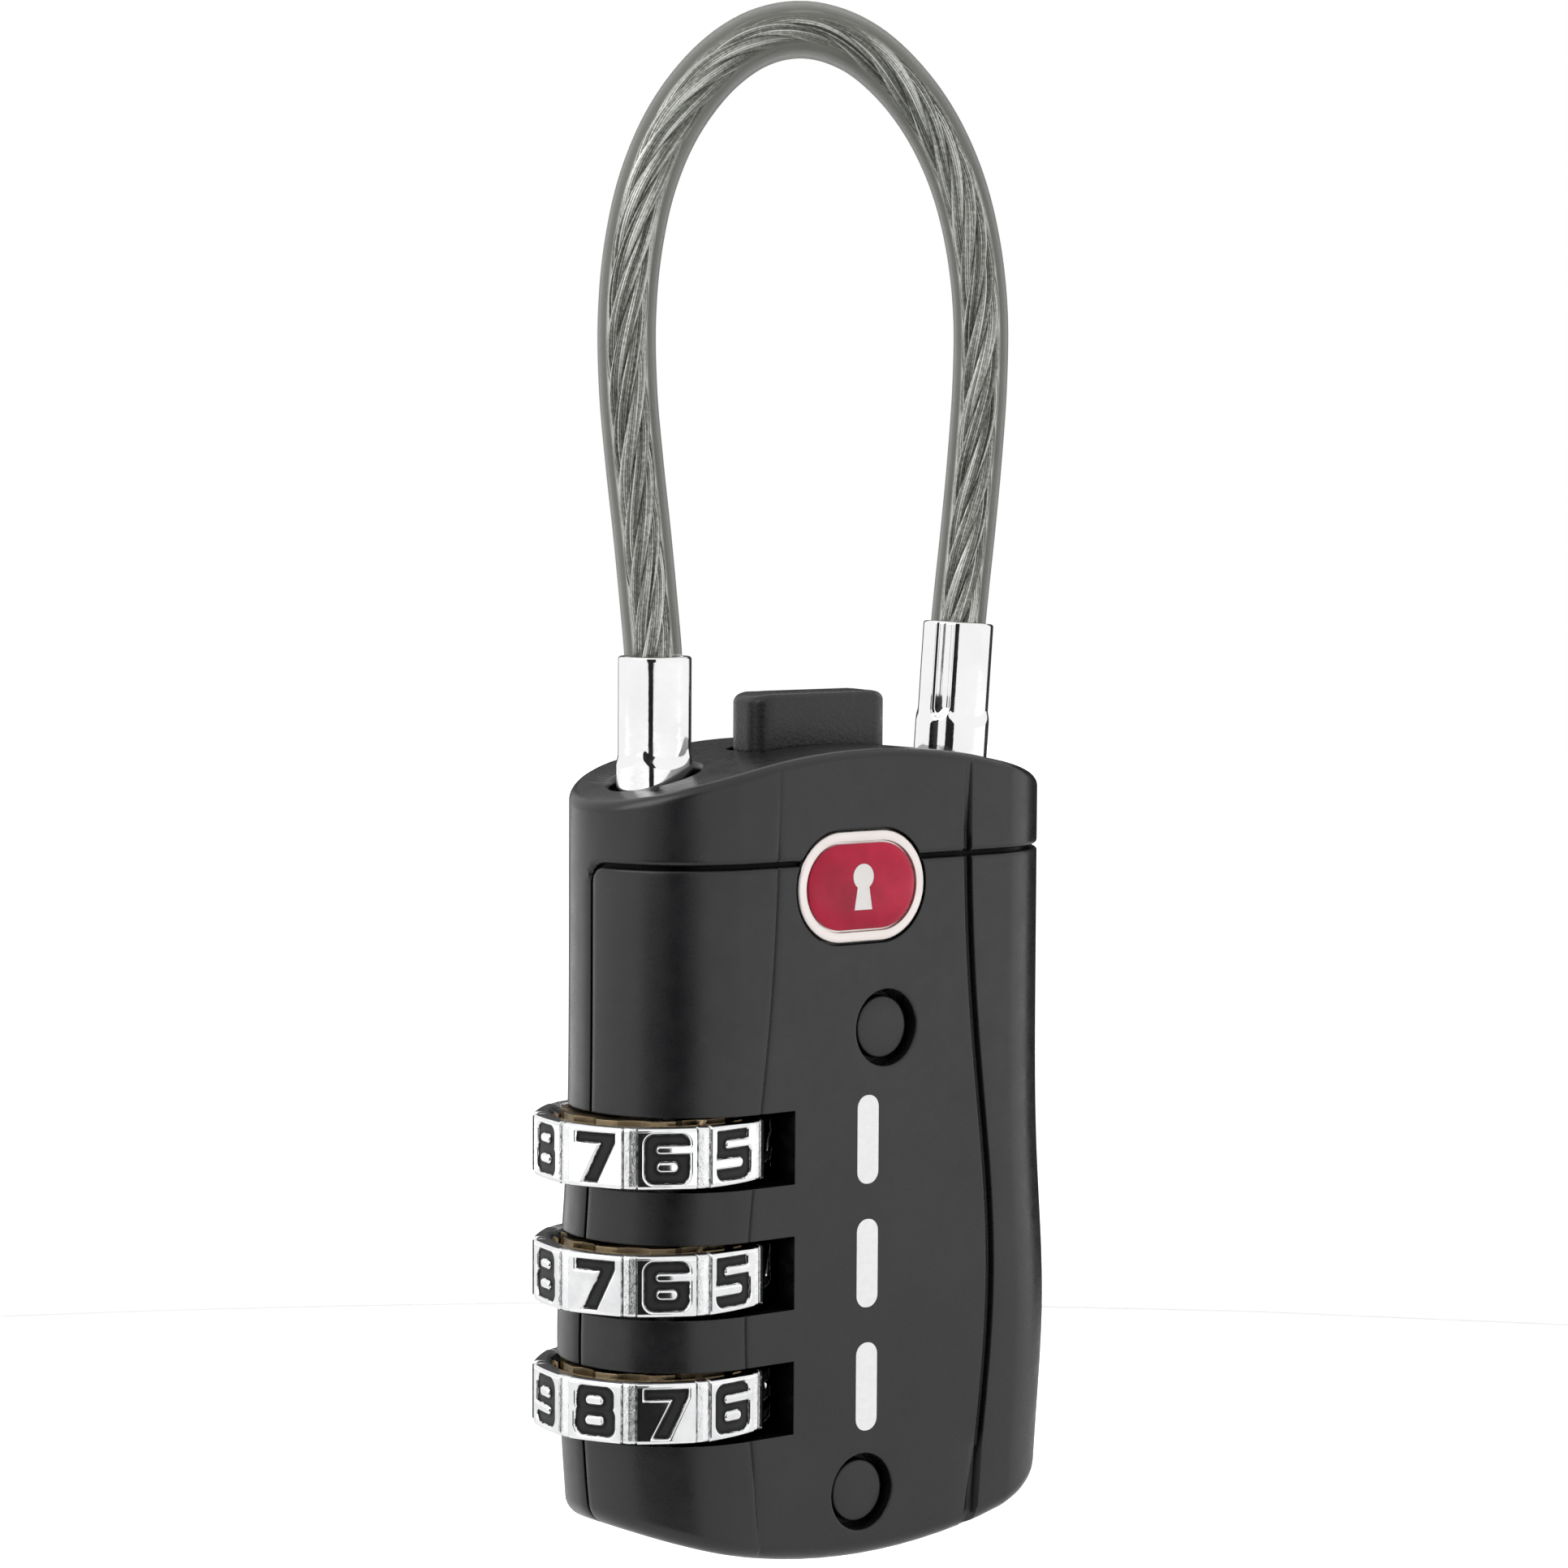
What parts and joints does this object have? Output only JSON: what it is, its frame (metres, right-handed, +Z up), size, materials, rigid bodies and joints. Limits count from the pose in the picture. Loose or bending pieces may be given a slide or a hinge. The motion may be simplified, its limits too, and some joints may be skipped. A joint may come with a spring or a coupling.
{
  "type": "cable luggage lock",
  "caption": "Combination luggage lock with number dials, a push-button release, a loop of jacketed steel cable with crimped ends and an override key cylinder.",
  "frame": {"origin": "inside of the cable loop's crown, where the lock hangs, on the body's middle plane", "axes": "+Z up along the dials' axis, -Y out of the face with the dials' slots, +X from the free ferrule towards the fixed ferrule"},
  "size_m": [0.0335, 0.0134, 0.0873],
  "materials": {
    "black_cast": "matte soft-touch black over die-cast zinc",
    "silver": "satin silver",
    "red_enamel": "gloss enamel",
    "clear_jacket": "clear smoky jacket",
    "steel_rope": "bright twisted rope",
    "chrome": "bright chrome",
    "steel": "bright steel",
    "brass": "plain brass",
    "zinc": "raw casting"
  },
  "bodies": {
    "lock_body": {"rear_housing": "black_cast", "front_cover": "black_cast", "upper_rivet": "black_cast", "lower_rivet": "black_cast", "badge_plate": "silver", "badge_enamel": "red_enamel", "fixed_ferrule": "chrome", "ferrule_clip": "steel", "cable_jacket": "clear_jacket", "cable_core": "steel_rope", "spindle": "steel", "spindle_spring": "steel", "click_spring": "steel", "latch_guide": "zinc", "button_spring": "steel", "latch_spring": "steel", "cylinder_sleeve": "zinc"},
    "dial_top": {"dial_top": "chrome", "clutch_top": "brass"},
    "dial_middle": {"dial_middle": "chrome", "clutch_middle": "brass"},
    "dial_bottom": {"dial_bottom": "chrome", "clutch_bottom": "brass"},
    "button": {"push_button": "black_cast"},
    "latch": {"latch_slide": "steel"},
    "free_end": {"free_ferrule": "chrome"},
    "key_plug": {"key_plug": "brass", "wafer_1": "brass", "wafer_2": "brass", "wafer_3": "brass", "wafer_4": "brass", "key_cam": "steel"},
    "override_link": {"override_link": "steel"}
  },
  "joints": [
    {"name": "dial_top_turn", "type": "hinge", "parent": "lock_body", "child": "dial_top", "pos_m": [-0.01087, 0, -0.0604], "axis": [0, 0, 1], "continuous": true},
    {"name": "dial_middle_turn", "type": "hinge", "parent": "lock_body", "child": "dial_middle", "pos_m": [-0.01087, 0, -0.0674], "axis": [0, 0, 1], "continuous": true},
    {"name": "dial_bottom_turn", "type": "hinge", "parent": "lock_body", "child": "dial_bottom", "pos_m": [-0.01087, 0, -0.0744], "axis": [0, 0, 1], "continuous": true},
    {"name": "button_press", "type": "slide", "parent": "lock_body", "child": "button", "axis": [0, 0, -1], "range_m": [0, 0.0016], "stiffness_N_per_m": 800, "springref_m": -0.0015, "deforming": ["button_spring"]},
    {"name": "latch_draw", "type": "slide", "parent": "lock_body", "child": "latch", "axis": [1, 0, 0], "range_m": [0, 0.0016], "deforming": ["latch_spring"]},
    {"name": "free_end_pull", "type": "slide", "parent": "lock_body", "child": "free_end", "axis": [0, 0, 1], "range_m": [0, 0.014], "deforming": ["cable_jacket", "cable_core"]},
    {"name": "key_turn", "type": "hinge", "parent": "lock_body", "child": "key_plug", "pos_m": [0.0056, 0, -0.0774], "axis": [0, 0, 1], "range_deg": [0, 90]},
    {"name": "override_draw", "type": "slide", "parent": "lock_body", "child": "override_link", "axis": [1, 0, 0], "range_m": [0, 0.0016]}
  ],
  "couplings": [
    {"joint": "latch_draw", "follows": "button_press", "ratio": 1},
    {"joint": "key_turn", "follows": "override_draw", "rad_per_m": 981.7}
  ]
}
